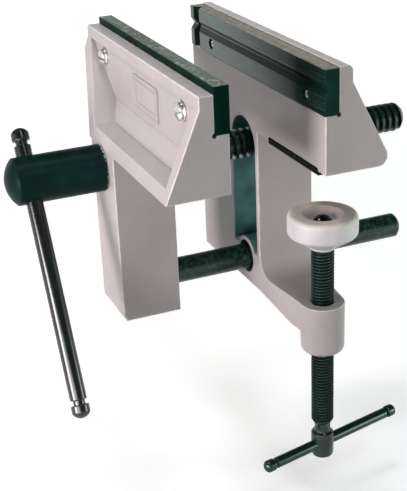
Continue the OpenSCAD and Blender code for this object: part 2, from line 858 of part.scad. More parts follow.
// Pair of knobs with round ends and a blind bore
module bar_knobs(low, high, d, knob, spigot) {
    for (side = [0, 1])
        translate([0, 0, side == 0 ? low : high]) mirror([0, 0, side]) difference() {
            intersection() {
                cylinder(d = d, h = knob);
                translate([0, 0, knob_round(d)]) sphere(r = knob_round(d));
            }
            translate([0, 0, knob / 2 - seat_gap]) cylinder(d = spigot + 2 * seat_gap, h = knob);
        }
}

// Radius of a knob's round end
function knob_round(d) = d * 0.56;

module in_hub() { translate([bar_x, screw_y, screw_z]) leaning() children(); }

module tommy_bar() {
    color(black_steel) in_hub() bar_core(-bar_long, bar_short, bar_d, knob_l, neck_l, neck_d);
}

module tommy_bar_knobs() {
    color(black_steel) in_hub() bar_knobs(-bar_long, bar_short, knob_d, knob_l, neck_d);
}

// Table clamp

module clamp_pad() {
    r = disc_d / 2;
    color(nylon) difference() {
        union() {
            translate([0, 0, disc_low_z]) cylinder(d = disc_collar_d, h = disc_h);
            rotate_extrude() translate([0, disc_z]) rounded_polygon([
                [0, 0], [r, 0], [r, -disc_rim_h], [disc_collar_d / 2, disc_collar_h - disc_h],
                [0, disc_collar_h - disc_h]
            ], [0, disc_edge_r, disc_edge_r, 0, 0]);
        }
        translate([0, 0, disc_z - dish_depth])
            cylinder(d1 = dish_floor_d, d2 = dish_d, h = dish_depth);
        translate([0, 0, disc_z]) cylinder(d = dish_d, h = past);
        translate([0, 0, disc_low_z - past])
            cylinder(d = spigot_d + 2 * run_gap, h = disc_h);
    }
}

module clamp_screw() {
    neck_slope = (clamp_d - clamp_neck_d) / 2;
    r = clamp_head_d / 2;
    color(black_steel) difference() {
        union() {
            translate([0, 0, neck_top_z]) cylinder(d = clamp_d, h = shoulder_z - neck_top_z);
            translate([0, 0, shoulder_z]) cylinder(d = spigot_d, h = spigot_z - shoulder_z);
            translate([0, 0, neck_top_z - neck_slope])
                cylinder(d1 = clamp_neck_d, d2 = clamp_d, h = neck_slope);
            translate([0, 0, head_low_z])
                cylinder(d = clamp_neck_d, h = clamp_neck_l - neck_slope);
            translate([0, 0, clamp_low_z]) rotate_extrude() intersection() {
                rounded_polygon([[-r, 0], [r, 0], [r, clamp_head_l], [-r, clamp_head_l]],
                    [clamp_head_r, clamp_head_r, 0, 0]);
                square([r, clamp_head_l]);
            }
        }
        in_clamp_head() translate([0, 0, -clamp_head_d])
            cylinder(d = tee_d + 2 * run_gap, h = 2 * clamp_head_d);
        translate([0, 0, spigot_z - retainer_shank_l])
            cylinder(d = retainer_shank_d + 2 * seat_gap, h = retainer_shank_l + past);
    }
}

module pad_retaining_screw() {
    dome_r = (pow(retainer_d / 2, 2) + pow(retainer_h, 2)) / (2 * retainer_h);
    color(black_steel) translate([0, 0, spigot_z]) {
        translate([0, 0, -retainer_shank_l])
            cylinder(d = retainer_shank_d, h = retainer_shank_l + past);
        intersection() {
            translate([0, 0, retainer_h - dome_r]) sphere(r = dome_r);
            cylinder(d = retainer_d + past, h = retainer_h + past);
        }
    }
}

module in_clamp_head() { translate([0, 0, tee_z]) rotate([0, 90, tee_turn]) children(); }

module clamp_bar() {
    color(black_steel) in_clamp_head()
        bar_core(-tee_short, tee_long, tee_d, tee_knob_l, tee_neck_l, tee_neck_d);
}

module clamp_bar_knobs() {
    color(black_steel) in_clamp_head()
        bar_knobs(-tee_short, tee_long, tee_knob_d, tee_knob_l, tee_neck_d);
}

rear_jaw_body();
rear_jaw_plate();
rear_plate_screws();
rear_plate_washers();
spindle_nut();
nut_lock_pin();
guide_bush();
table_pad();
front_jaw_body();
front_jaw_plate();
front_plate_screws();
front_plate_washers();
guide_rod();
guide_rod_set_screw();
front_thrust_washer();
rear_thrust_washer();
spindle();
spindle_hub();
hub_pin();
tommy_bar();
tommy_bar_knobs();
clamp_pad();
clamp_screw();
pad_retaining_screw();
clamp_bar();
clamp_bar_knobs();
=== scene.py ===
"""Looks of the clamp-on table vise.

CAD nodes with soft edges, real threads and fasteners, procedural materials and a plain studio, in metres.
"""

import json
import math

import bmesh
import bpy
from mathutils import Matrix, Vector
from mathutils.kdtree import KDTree


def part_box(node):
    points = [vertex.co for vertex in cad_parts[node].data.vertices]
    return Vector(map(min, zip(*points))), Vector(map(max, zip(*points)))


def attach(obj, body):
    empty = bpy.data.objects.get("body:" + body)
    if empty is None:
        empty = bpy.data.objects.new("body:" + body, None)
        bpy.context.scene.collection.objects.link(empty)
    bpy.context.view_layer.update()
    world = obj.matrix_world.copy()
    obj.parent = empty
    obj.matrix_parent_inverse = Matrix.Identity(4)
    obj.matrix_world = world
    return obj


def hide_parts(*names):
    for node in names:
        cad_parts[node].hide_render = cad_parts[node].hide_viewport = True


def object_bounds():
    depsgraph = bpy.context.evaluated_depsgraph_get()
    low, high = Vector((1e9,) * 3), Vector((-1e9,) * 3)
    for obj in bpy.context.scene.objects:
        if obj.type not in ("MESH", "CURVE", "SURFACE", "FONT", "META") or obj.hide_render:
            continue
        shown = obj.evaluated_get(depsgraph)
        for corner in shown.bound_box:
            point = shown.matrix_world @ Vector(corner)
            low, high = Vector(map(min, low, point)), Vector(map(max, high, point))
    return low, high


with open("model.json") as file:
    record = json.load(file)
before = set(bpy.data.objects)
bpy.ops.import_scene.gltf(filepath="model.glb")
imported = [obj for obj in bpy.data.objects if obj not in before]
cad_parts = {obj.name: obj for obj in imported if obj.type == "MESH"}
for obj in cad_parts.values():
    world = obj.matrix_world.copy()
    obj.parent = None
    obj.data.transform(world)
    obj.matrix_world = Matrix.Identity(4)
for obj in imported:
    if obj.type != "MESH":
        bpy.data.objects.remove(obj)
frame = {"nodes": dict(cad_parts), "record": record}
CAD_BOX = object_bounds()

NODES = frame["nodes"]
RECORD = frame["record"]
BEHAVIOUR = RECORD["behaviour"]
BODY_OF = {node: body for body, members in BEHAVIOUR["bodies"].items() for node in members}
MM = 0.001


# Camera, from the photograph's perspective, with lens and sensor in millimetres

CAMERA_AT = Vector((-0.24836, -0.46704, 0.18671))
CAMERA_AZIMUTH = math.radians(-21.47)
CAMERA_ELEVATION = math.radians(23.80)
CAMERA_ROLL = math.radians(-2.55)
CAMERA_LENS = 83.47
SENSOR_HEIGHT = 36.0
CLIP_START = 0.01
CLIP_END = 50.0


def make_camera():
    """Camera at the photograph's place, with its tilt and its field of view."""
    back = Vector((
        math.sin(CAMERA_AZIMUTH) * math.cos(CAMERA_ELEVATION),
        -math.cos(CAMERA_AZIMUTH) * math.cos(CAMERA_ELEVATION),
        math.sin(CAMERA_ELEVATION),
    ))
    right = Vector((math.cos(CAMERA_AZIMUTH), math.sin(CAMERA_AZIMUTH), 0.0))
    up = back.cross(right)
    tilted_right = right * math.cos(CAMERA_ROLL) + up * math.sin(CAMERA_ROLL)
    tilted_up = up * math.cos(CAMERA_ROLL) - right * math.sin(CAMERA_ROLL)
    data = bpy.data.cameras.new("camera")
    data.sensor_fit = "VERTICAL"
    data.sensor_height = SENSOR_HEIGHT
    data.lens = CAMERA_LENS
    data.clip_start = CLIP_START
    data.clip_end = CLIP_END
    camera = bpy.data.objects.new("camera", data)
    axes = Matrix((tilted_right, tilted_up, back)).transposed().to_4x4()
    camera.matrix_world = Matrix.Translation(CAMERA_AT) @ axes
    bpy.context.scene.collection.objects.link(camera)
    bpy.context.scene.camera = camera


make_camera()


# Node trees

NOISE_SPAN = (0.3, 0.7)


def colours_of(sockets):
    """The colour sockets among a node's inputs or outputs."""
    return [socket for socket in sockets if socket.type == "RGBA"]


class NodeTree:
    """Short calls for adding nodes and links to a node tree."""

    def __init__(self, tree):
        self.tree = tree

    def add(self, kind, **settings):
        """New node with its properties and, by socket name, its input values."""
        node = self.tree.nodes.new(kind)
        for key, value in settings.items():
            if hasattr(node, key):
                setattr(node, key, value)
            else:
                node.inputs[key.replace("_", " ")].default_value = value
        return node

    def link(self, source, target):
        self.tree.links.new(source, target)

    def ramp(self, source, stops):
        """Colours at places from 0 to 1 along a value."""
        node = self.add("ShaderNodeValToRGB")
        elements = node.color_ramp.elements
        while len(elements) < len(stops):
            elements.new(0.5)
        for element, (place, colour) in zip(elements, stops):
            element.position = place
            element.color = (*colour, 1.0)
        self.link(source, node.inputs["Fac"])
        return node.outputs["Color"]

    def spread(self, source, low, high, edges=NOISE_SPAN):
        """Maps the values between two edges onto a range."""
        start, end = edges
        node = self.add("ShaderNodeMapRange", From_Min=start, From_Max=end, To_Min=low, To_Max=high)
        self.link(source, node.inputs["Value"])
        return node.outputs["Result"]

    def mix(self, factor, first, second):
        """Colour between two colours or sockets by a factor socket."""
        node = self.add("ShaderNodeMix", data_type="RGBA")
        self.link(factor, node.inputs["Factor"])
        for socket, value in zip(colours_of(node.inputs), (first, second)):
            if isinstance(value, tuple):
                socket.default_value = (*value, 1.0)
            else:
                self.link(value, socket)
        return colours_of(node.outputs)[0]

    def axis(self, source, name):
        """One coordinate of a vector socket."""
        node = self.add("ShaderNodeSeparateXYZ")
        self.link(source, node.inputs["Vector"])
        return node.outputs[name]

    def combine(self, operation, first, second):
        """Result of a maths operation on two value sockets."""
        node = self.add("ShaderNodeMath", operation=operation)
        self.link(first, node.inputs[0])
        self.link(second, node.inputs[1])
        return node.outputs["Value"]


class Shader(NodeTree):
    """A procedural material: a Principled shader and the nodes that feed it."""

    def __init__(self, name, colour, roughness, metallic=0.0, specular=0.5):
        self.material = bpy.data.materials.new(name)
        self.material.use_nodes = True
        super().__init__(self.material.node_tree)
        self.inputs = self.tree.nodes["Principled BSDF"].inputs
        self.set(
            Base_Color=(*colour, 1.0), Roughness=roughness, Metallic=metallic, Specular_IOR_Level=specular)
        coordinates = self.add("ShaderNodeTexCoord")
        self.place = coordinates.outputs["Object"]
        self.facing = coordinates.outputs["Normal"]

    def set(self, **values):
        """Values that are the same all over the surface."""
        for name, value in values.items():
            self.inputs[name.replace("_", " ")].default_value = value

    def feed(self, name, source):
        """A socket that drives one of the shader's inputs."""
        self.link(source, self.inputs[name])

    def noise(self, scale, detail=3.0, stretch=None, roughness=0.5):
        """Noise in object space, with features of about 1 / scale metres, scaled per axis if asked."""
        source = self.place
        if stretch:
            mapping = self.add("ShaderNodeMapping", Scale=stretch)
            self.link(source, mapping.inputs["Vector"])
            source = mapping.outputs["Vector"]
        node = self.add("ShaderNodeTexNoise", Scale=scale, Detail=detail, Roughness=roughness)
        self.link(source, node.inputs["Vector"])
        return node.outputs["Fac"]

    def finish(self, colour, roughness, bumps):
        """The material, with bumps one after another: (height socket, depth in metres, strength)."""
        self.feed("Base Color", colour)
        self.feed("Roughness", roughness)
        normal = None
        for height, depth, strength in bumps:
            node = self.add("ShaderNodeBump", Strength=strength, Distance=depth)
            self.link(height, node.inputs["Height"])
            if normal:
                self.link(normal, node.inputs["Normal"])
            normal = node.outputs["Normal"]
        self.feed("Normal", normal)
        return self.material


# Materials

GREEN_SHEEN = (0.62, 1.0, 0.88)
PLAIN_SHEEN = (1.0, 1.0, 0.98)
THREAD_SHEEN = (0.8, 1.0, 0.95)
ROD_SHEEN = (0.8, 1.0, 0.9)
PLATE_SHEEN = (0.70, 1.0, 0.86)
BARE_STEEL = (0.42, 0.48, 0.45)


def tint(colour, factor):
    return tuple(channel * factor for channel in colour)


def paint_material(name, edge_wear_and_light=False):
    """Silver-grey casting paint: faint clouds, fine specks and orange peel.

    Asked for, it also darkens corners and creases as a painted shade, and makes edges pale, partly rubbed
    paint and partly a painted highlight.
    """
    base = (0.500, 0.462, 0.458)
    rubbed = (0.76, 0.74, 0.74)
    shader = Shader(name, base, roughness=0.36, specular=0.22)
    clouds = shader.ramp(shader.noise(26, 4), [
        (0.30, tint(base, 0.93)), (0.55, base), (0.75, tint(base, 1.05)),
    ])
    specks = shader.spread(shader.noise(950, 2), 0.0, 1.0, (0.60, 0.74))
    paint = shader.mix(specks, clouds, tint(base, 0.84))
    if edge_wear_and_light:
        bend = shader.add("ShaderNodeNewGeometry").outputs["Pointiness"]
        # Painted shade: darker where the surface bends inwards, in corners and creases.
        painted_corner_shade = shader.spread(bend, 0.55, 0.0, (0.44, 0.495))
        # Pale edges where the surface bends outwards: partly rubbed paint, partly a painted highlight.
        edges = shader.spread(bend, 0.0, 1.0, (0.505, 0.55))
        patches = shader.spread(shader.noise(240, 4), 0.45, 1.0, (0.35, 0.65))
        paint = shader.mix(painted_corner_shade, paint, tint(base, 0.42))
        paint = shader.mix(shader.combine("MULTIPLY", edges, patches), paint, rubbed)
    return shader.finish(
        colour=paint,
        roughness=shader.spread(shader.noise(180, 4), 0.28, 0.42),
        bumps=[(shader.noise(70, 3), 0.0006, 0.10), (shader.noise(900, 2), 0.00012, 0.24)])


def skin_and_channel_shade_material():
    """Primed casting skin inside the column's channel: blue-green, oily and sandy, and darker than the paint
    as a painted shade of the channel's inside.
    """
    base = (0.080, 0.250, 0.258)
    dry = (0.130, 0.310, 0.318)
    shader = Shader("casting_skin_and_shade", base, roughness=0.58, specular=0.3)
    oil = shader.noise(90, 5)
    return shader.finish(
        colour=shader.ramp(oil, [(0.32, tint(base, 0.6)), (0.55, base), (0.78, dry)]),
        roughness=shader.spread(oil, 0.42, 0.70),
        bumps=[(shader.noise(700, 3), 0.00025, 0.35)])


def black_steel_material(
        name, base, roughness, specular,
        sheen=GREEN_SHEEN, streaks=None, mottle=(60, 0.65, 1.7), chipped=None):
    """Blackened, oiled steel with a sheen colour and spots of a scale, darkest and palest share.

    Drawing streaks, and chips of bare steel that thicken between two places along X, if asked.
    """
    shader = Shader(name, base, roughness, specular=specular)
    shader.set(Specular_Tint=(*sheen, 1.0))
    spots, dark, pale = mottle
    black = shader.ramp(shader.noise(spots, 5), [
        (0.34, tint(base, dark)), (0.52, base), (0.72, tint(base, pale)),
    ])
    if chipped:
        nearness = shader.spread(shader.axis(shader.place, "X"), 0.0, 1.0, chipped)
        flakes = shader.combine("MULTIPLY", nearness, shader.noise(900, 3))
        black = shader.mix(shader.spread(flakes, 0.0, 1.0, (0.48, 0.53)), black, BARE_STEEL)
    grain = shader.noise(1.0, 3, stretch=streaks) if streaks else shader.noise(700, 3)
    return shader.finish(
        colour=black,
        roughness=shader.spread(grain, roughness * 0.8, roughness * 1.25),
        bumps=[(grain, 0.00004, 0.25)])


def plate_face_material():
    """Blackened working faces of the jaw plates: green-black, with more specular reflection along Y where
    they are flat, a painted reflection.
    """
    base = (0.006, 0.023, 0.019)
    rubbed = (0.034, 0.062, 0.053)
    shader = Shader("jaw_plate_face", base, roughness=0.30)
    shader.set(Specular_Tint=(*PLATE_SHEEN, 1.0))
    # Painted reflection: the specular level grows from the near end to the far end of the flat face.
    painted_reflection_level = shader.spread(shader.axis(shader.place, "Y"), 0.01, 1.0, (-5 * MM, 95 * MM))
    flat = shader.spread(shader.axis(shader.facing, "X"), 1.0, 0.05, (-0.97, -0.80))
    shader.feed("Specular IOR Level", shader.combine("MULTIPLY", painted_reflection_level, flat))
    marks = shader.noise(1.0, 4, stretch=(1600, 26, 1600), roughness=0.65)
    return shader.finish(
        colour=shader.ramp(marks, [(0.30, tint(base, 0.5)), (0.52, base), (0.74, rubbed)]),
        roughness=shader.spread(marks, 0.24, 0.42),
        bumps=[(marks, 0.00005, 0.30)])


def plate_top_and_reflection_material(name, dark, base, pale):
    """Top edge of a jaw plate, paler than its sides: lengthwise grinding marks, oil stains and bare steel,
    its paleness partly a painted reflection.
    """
    shader = Shader(name, base, roughness=0.42, metallic=0.35)
    marks = shader.noise(1.0, 4, stretch=(1500, 22, 1500), roughness=0.7)
    streaked = shader.ramp(marks, [(0.32, dark), (0.50, base), (0.70, pale)])
    stains = shader.spread(shader.noise(34, 5, stretch=(1.0, 0.35, 1.0)), 0.0, 0.7, (0.50, 0.72))
    specks = shader.spread(shader.noise(300, 4, roughness=0.7), 0.0, 0.9, (0.54, 0.60))
    return shader.finish(
        colour=shader.mix(specks, shader.mix(stains, streaked, dark), pale),
        roughness=shader.spread(marks, 0.34, 0.56),
        bumps=[(marks, 0.00006, 0.35)])


def zinc_material():
    """Bright zinc plating with faint crystal clouds."""
    dull, base, bright = (0.52, 0.52, 0.50), (0.70, 0.70, 0.67), (0.82, 0.81, 0.76)
    shader = Shader("zinc_plate", base, roughness=0.27, metallic=1.0)
    crystals = shader.noise(420, 4)
    return shader.finish(
        colour=shader.ramp(crystals, [(0.3, dull), (0.6, base), (0.8, bright)]),
        roughness=shader.spread(crystals, 0.20, 0.38),
        bumps=[(shader.noise(900, 2), 0.00003, 0.2)])


def bronze_material():
    """Turned bronze, oily and tarnished."""
    tarnished, base, bright = (0.17, 0.11, 0.06), (0.34, 0.22, 0.10), (0.46, 0.32, 0.16)
    shader = Shader("turned_bronze", base, roughness=0.36, metallic=1.0)
    clouds = shader.noise(160, 4)
    return shader.finish(
        colour=shader.ramp(clouds, [(0.3, tarnished), (0.6, base), (0.8, bright)]),
        roughness=shader.spread(clouds, 0.30, 0.48),
        bumps=[(shader.noise(1.0, 2, stretch=(1800, 60, 60)), 0.00004, 0.25)])


def rubber_material():
    """Black moulded rubber with a dusty, fine-grained surface."""
    base, dusty = (0.002, 0.007, 0.005), (0.010, 0.017, 0.014)
    shader = Shader("table_pad_rubber", base, roughness=0.72, specular=0.04)
    dust = shader.noise(120, 5)
    return shader.finish(
        colour=shader.ramp(dust, [(0.35, base), (0.75, dusty)]),
        roughness=shader.spread(dust, 0.62, 0.85),
        bumps=[(shader.noise(1200, 2), 0.00010, 0.35)])


def nylon_material():
    """Natural nylon: milky, slightly translucent, tan on top, partly yellowed and partly a painted light on
    up-facing faces, with faint turning rings and marks.
    """
    base = (0.740, 0.725, 0.740)
    aged_and_lit_tan = (0.860, 0.765, 0.680)
    shader = Shader("natural_nylon", base, roughness=0.42)
    shader.set(Subsurface_Weight=0.35, Subsurface_Radius=(1.0, 0.85, 0.7), Subsurface_Scale=3 * MM)
    marks = shader.noise(140, 5)
    side = shader.ramp(marks, [(0.30, tint(base, 0.92)), (0.55, base), (0.8, tint(base, 1.05))])
    top = shader.ramp(marks, [(0.30, tint(aged_and_lit_tan, 0.88)), (0.55, aged_and_lit_tan), (0.8, tint(aged_and_lit_tan, 1.06))])
    # Up-facing faces take the tan colour: partly yellowing, partly painted light.
    upward = shader.spread(shader.axis(shader.facing, "Z"), 0.0, 1.0, (0.2, 0.9))
    rings = shader.add(
        "ShaderNodeTexWave", wave_type="RINGS", rings_direction="Z", Scale=320.0, Distortion=0.6)
    shader.link(shader.place, rings.inputs["Vector"])
    return shader.finish(
        colour=shader.mix(upward, side, top),
        roughness=shader.spread(marks, 0.36, 0.52),
        bumps=[(rings.outputs["Fac"], 0.00004, 0.25), (shader.noise(600, 3), 0.00005, 0.2)])


HUB_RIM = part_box("spindle_hub")[1].x
CHIPPED_RIM = (HUB_RIM - 2.6 * MM, HUB_RIM - 0.3 * MM)

PAINT = paint_material("casting_paint")
# Edge material: painted shade in corners, and pale edges that are partly a painted highlight.
WORN_SHADED_AND_LIT_EDGE = paint_material("casting_paint_edges", edge_wear_and_light=True)
# Channel skin, darker than the paint partly as a painted shade.
SKIN_AND_CHANNEL_SHADE = skin_and_channel_shade_material()
HUB_BLACK = black_steel_material(
    "satin_black_steel", (0.0024, 0.0155, 0.0138), roughness=0.38, specular=0.07, chipped=CHIPPED_RIM)
BAR_BLACK = black_steel_material(
    "polished_black_steel", (0.003, 0.008, 0.007), roughness=0.16, specular=0.6, sheen=PLAIN_SHEEN)
TEE_BLACK = black_steel_material(
    "oiled_black_steel", (0.004, 0.011, 0.010), roughness=0.22, specular=0.5)
THREAD_BLACK = black_steel_material(
    "thread_black_steel", (0.004, 0.014, 0.012), roughness=0.24, specular=0.5, sheen=THREAD_SHEEN)
ROD_BLACK = black_steel_material(
    "rod_black_steel", (0.006, 0.026, 0.019), roughness=0.20, specular=0.45, sheen=ROD_SHEEN,
    streaks=(60, 1500, 1500), mottle=(330, 0.25, 3.4))
FRONT_BLACK = black_steel_material(
    "front_plate_black", (0.0012, 0.013, 0.009), roughness=0.45, specular=0.03)
REAR_BLACK = black_steel_material(
    "rear_plate_black", (0.005, 0.032, 0.025), roughness=0.45, specular=0.05)
PLATE_FACE = plate_face_material()
# Plate tops: paler than the sides, partly a painted reflection.
FRONT_TOP_AND_REFLECTION = plate_top_and_reflection_material(
    "front_plate_top", dark=(0.006, 0.018, 0.011), base=(0.085, 0.125, 0.092), pale=(0.36, 0.42, 0.34))
REAR_TOP_AND_REFLECTION = plate_top_and_reflection_material(
    "rear_plate_top", dark=(0.075, 0.062, 0.046), base=(0.270, 0.235, 0.185), pale=(0.42, 0.38, 0.31))
ZINC = zinc_material()
BRONZE = bronze_material()
RUBBER = rubber_material()
NYLON = nylon_material()


# Mesh helpers

SHARP_ANGLE = math.radians(28)
CIRCLE = 64
OVERLAP = 0.1 * MM
IN_PLACE = Matrix.Identity(4)


def object_from(name, bm, material):
    """New object from a bmesh, smooth except at its sharp edges."""
    bmesh.ops.recalc_face_normals(bm, faces=bm.faces)
    for face in bm.faces:
        face.smooth = True
    for edge in bm.edges:
        edge.smooth = len(edge.link_faces) != 2 or edge.calc_face_angle() < SHARP_ANGLE
    mesh = bpy.data.meshes.new(name)
    bm.to_mesh(mesh)
    bm.free()
    mesh.materials.append(material)
    piece = bpy.data.objects.new(name, mesh)
    bpy.context.scene.collection.objects.link(piece)
    return piece


def add_material(piece, material):
    """Gives the piece one more material, and returns its number."""
    piece.data.materials.append(material)
    return len(piece.data.materials) - 1


def stand_for(piece, *nodes):
    """The piece rides with its first node's body, and is shown in place of the nodes."""
    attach(piece, BODY_OF[nodes[0]])
    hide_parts(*nodes)


def along(axis, origin):
    """Places local +Z along an axis at an origin."""
    turn = Vector((0, 0, 1)).rotation_difference(Vector(axis)).to_matrix().to_4x4()
    return Matrix.Translation(origin) @ turn


def circle(radius, height, count=CIRCLE):
    """Points round local Z at a height."""
    angles = [2 * math.pi * i / count for i in range(count)]
    return [Vector((radius * math.cos(angle), radius * math.sin(angle), height)) for angle in angles]


def skin(bm, loops):
    """Faces between neighbouring loops of equal point counts."""
    for low, high in zip(loops, loops[1:]):
        for i, vert in enumerate(low):
            j = (i + 1) % len(low)
            bm.faces.new((vert, low[j], high[j], high[i]))


def loft(bm, rings, place):
    """Solid through rings of equal point counts, with flat caps."""
    loops = [[bm.verts.new(place @ point) for point in ring] for ring in rings]
    skin(bm, loops)
    bm.faces.new(list(reversed(loops[0])))
    bm.faces.new(loops[-1])


def ring_solid(bm, rings, place):
    """Solid through rings that come back to the first, such as a washer."""
    loops = [[bm.verts.new(place @ point) for point in ring] for ring in rings]
    skin(bm, loops + loops[:1])


def lathe(bm, profile, place, count=CIRCLE):
    """Turned solid from (radius, height) pairs."""
    loft(bm, [circle(radius, height, count) for radius, height in profile], place)


# CAD nodes with soft edges

WELD_DISTANCE = 2e-6
FLAT_ANGLE = math.radians(0.4)
SAMPLE_STEP = 1.2 * MM
NEIGHBOUR_REACH = 6 * MM
NEIGHBOUR_SHARE = 0.36  # of the distance to another run of edges
STRAIGHT_ON = -0.7  # cosine between the two ways out of a corner
SMALLEST_EDGE = 0.08 * MM
BEVEL_SEGMENTS = 3


def sharp_edges(bm):
    return [edge for edge in bm.edges if len(edge.link_faces) == 2 and edge.calc_face_angle() > SHARP_ANGLE]


def edge_chains(edges):
    """Number of the run that each sharp edge belongs to: edges that follow each other with gentle bends."""
    meeting = {}
    for number, edge in enumerate(edges):
        for vert in edge.verts:
            meeting.setdefault(vert, []).append(number)
    chain = list(range(len(edges)))

    def root(number):
        while chain[number] != number:
            number = chain[number]
        return number

    for vert, members in meeting.items():
        if len(members) == 2:
            ways = [(edges[number].other_vert(vert).co - vert.co).normalized() for number in members]
            if ways[0].dot(ways[1]) < STRAIGHT_ON:
                chain[root(members[0])] = root(members[1])
    return [root(number) for number in range(len(edges))]


def edge_radii(edges, radius):
    """Radius of each sharp edge: the asked one, or less along a run that comes close to another."""
    chains = edge_chains(edges)
    points = []
    for number, edge in enumerate(edges):
        start, end = (vert.co for vert in edge.verts)
        count = max(1, math.ceil((end - start).length / SAMPLE_STEP))
        points += [(start.lerp(end, (i + 0.5) / count), number) for i in range(count)]
    tree = KDTree(len(points))
    for i, (point, _) in enumerate(points):
        tree.insert(point, i)
    tree.balance()
    limits = {chain: radius for chain in chains}
    for point, number in points:
        own = set(edges[number].verts)
        for _, i, distance in tree.find_range(point, NEIGHBOUR_REACH):
            other = points[i][1]
            if chains[other] != chains[number] and not own & set(edges[other].verts):
                limits[chains[number]] = min(limits[chains[number]], NEIGHBOUR_SHARE * distance)
    return [limits[chain] for chain in chains]


def soft_copy(node, material, radius, edge_material=None):
    """The CAD node with rounded edges, shown in its place."""
    bm = bmesh.new()
    bm.from_mesh(NODES[node].data)
    bmesh.ops.remove_doubles(bm, verts=bm.verts, dist=WELD_DISTANCE)
    bmesh.ops.dissolve_limit(bm, angle_limit=FLAT_ANGLE, verts=bm.verts, edges=bm.edges)
    weights = bm.edges.layers.float.new("bevel_weight_edge")
    edges = sharp_edges(bm)
    for edge, own in zip(edges, edge_radii(edges, radius)):
        edge[weights] = own / radius if own > SMALLEST_EDGE else 0.0
    piece = object_from("soft_" + node, bm, material)
    bevel = piece.modifiers.new("soft_edges", "BEVEL")
    bevel.limit_method = "WEIGHT"
    bevel.width = radius
    bevel.segments = BEVEL_SEGMENTS
    bevel.use_clamp_overlap = False
    bevel.harden_normals = True
    bevel.miter_outer = "MITER_ARC"
    if edge_material:
        bevel.material = add_material(piece, edge_material)
    normals = piece.modifiers.new("flat_faces", "WEIGHTED_NORMAL")
    normals.keep_sharp = True
    stand_for(piece, node)
    return piece


# Castings

CASTING_EDGE = 0.55 * MM
CHANNEL_HALF_WIDTH = 14.8 * MM
CHANNEL_MARGIN = 0.3 * MM
CHANNEL_ABOVE_NUT = 1.5 * MM
CHANNEL_BEHIND_FACE = 6.2 * MM
FACING_X = 0.95  # share of a face's normal


def make_castings():
    """Both castings with pale edges and darker corners, partly wear and partly painted highlight and shade;
    the rear one is bare and darker inside its channel, partly a painted shade.
    """
    soft_copy("front_jaw_body", PAINT, CASTING_EDGE, edge_material=WORN_SHADED_AND_LIT_EDGE)
    rear = soft_copy("rear_jaw_body", PAINT, CASTING_EDGE, edge_material=WORN_SHADED_AND_LIT_EDGE)
    bare = add_material(rear, SKIN_AND_CHANNEL_SHADE)
    nut_low, nut_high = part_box("spindle_nut")
    middle = (nut_low.y + nut_high.y) / 2
    half = CHANNEL_HALF_WIDTH + CHANNEL_MARGIN
    top = nut_high.z + CHANNEL_ABOVE_NUT
    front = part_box("rear_jaw_plate")[0].x + CHANNEL_BEHIND_FACE
    # Faces inside the channel take the darker skin, which partly paints the shade that falls there.
    for face in rear.data.polygons:
        x, y, z = face.center
        if x > front and abs(y - middle) < half and z < top and abs(face.normal.x) < FACING_X:
            face.material_index = bare


make_castings()


# Jaw plates

PLATE_EDGE = 0.4 * MM
PLATE_TOP_BAND = 1 * MM
PLATE_FACE_BAND = 4 * MM
FACING_UP = 0.9  # share of a face's normal
FACING_JAW = 0.3  # share of a face's normal


def make_jaw_plate(node, black, top):
    """Jaw plate with black ends and back, glossy working face and grooves, and a paler top from grinding,
    partly a painted reflection.
    """
    piece = soft_copy(node, black, PLATE_EDGE)
    working = add_material(piece, PLATE_FACE)
    top_and_reflection_slot = add_material(piece, top)
    low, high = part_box(node)
    working_x = low.x if "rear" in node else high.x
    for face in piece.data.polygons:
        # Up-facing top faces take the paler top material, partly a painted reflection.
        if face.normal.z > FACING_UP and face.center.z > high.z - PLATE_TOP_BAND:
            face.material_index = top_and_reflection_slot
        elif abs(face.center.x - working_x) < PLATE_FACE_BAND and abs(face.normal.x) > FACING_JAW:
            face.material_index = working


make_jaw_plate("rear_jaw_plate", REAR_BLACK, REAR_TOP_AND_REFLECTION)
make_jaw_plate("front_jaw_plate", FRONT_BLACK, FRONT_TOP_AND_REFLECTION)


# Turned and small parts, with their edge radius in millimetres

TURNED = {
    "spindle_hub": (HUB_BLACK, 0.35),
    "tommy_bar": (BAR_BLACK, 0.4),
    "tommy_bar_knobs": (BAR_BLACK, 0.6),
    "clamp_bar": (TEE_BLACK, 0.3),
    "clamp_bar_knobs": (TEE_BLACK, 0.5),
    "guide_rod": (ROD_BLACK, 0.3),
    "pad_retaining_screw": (BAR_BLACK, 0.2),
    "clamp_pad": (NYLON, 0.6),
    "front_thrust_washer": (ZINC, 0.2),
    "rear_thrust_washer": (ZINC, 0.2),
    "spindle_nut": (BRONZE, 0.5),
    "guide_bush": (BRONZE, 0.3),
}
for node, (material, edge_radius) in TURNED.items():
    soft_copy(node, material, edge_radius * MM)


# CAD nodes that keep their own mesh

PLAIN = {"nut_lock_pin": ZINC, "guide_rod_set_screw": ZINC, "hub_pin": HUB_BLACK}
for node, material in PLAIN.items():
    NODES[node].data.materials.clear()
    NODES[node].data.materials.append(material)


# Screws and washers of the jaw plates, with slots as (width, depth)

SCREW_RADIUS = 2.5 * MM
SHANK_SIDES = 32
HEAD_DOME_SHARE = 0.55
HEAD_SLOT = (1.3 * MM, 1.85 * MM)
TIP_SIDE = 0.2 * MM
TIP_RISE = 1.3 * MM
TIP_SLOT = (0.8 * MM, 1.1 * MM)
TIP_LENGTH = 0.6 * MM
WASHER_LIP = 0.2 * MM
WASHER_PLAY = 0.05 * MM
DOME_STEPS = 10
ROW_STEPS = 24
OUTERMOST_ROW = 0.999


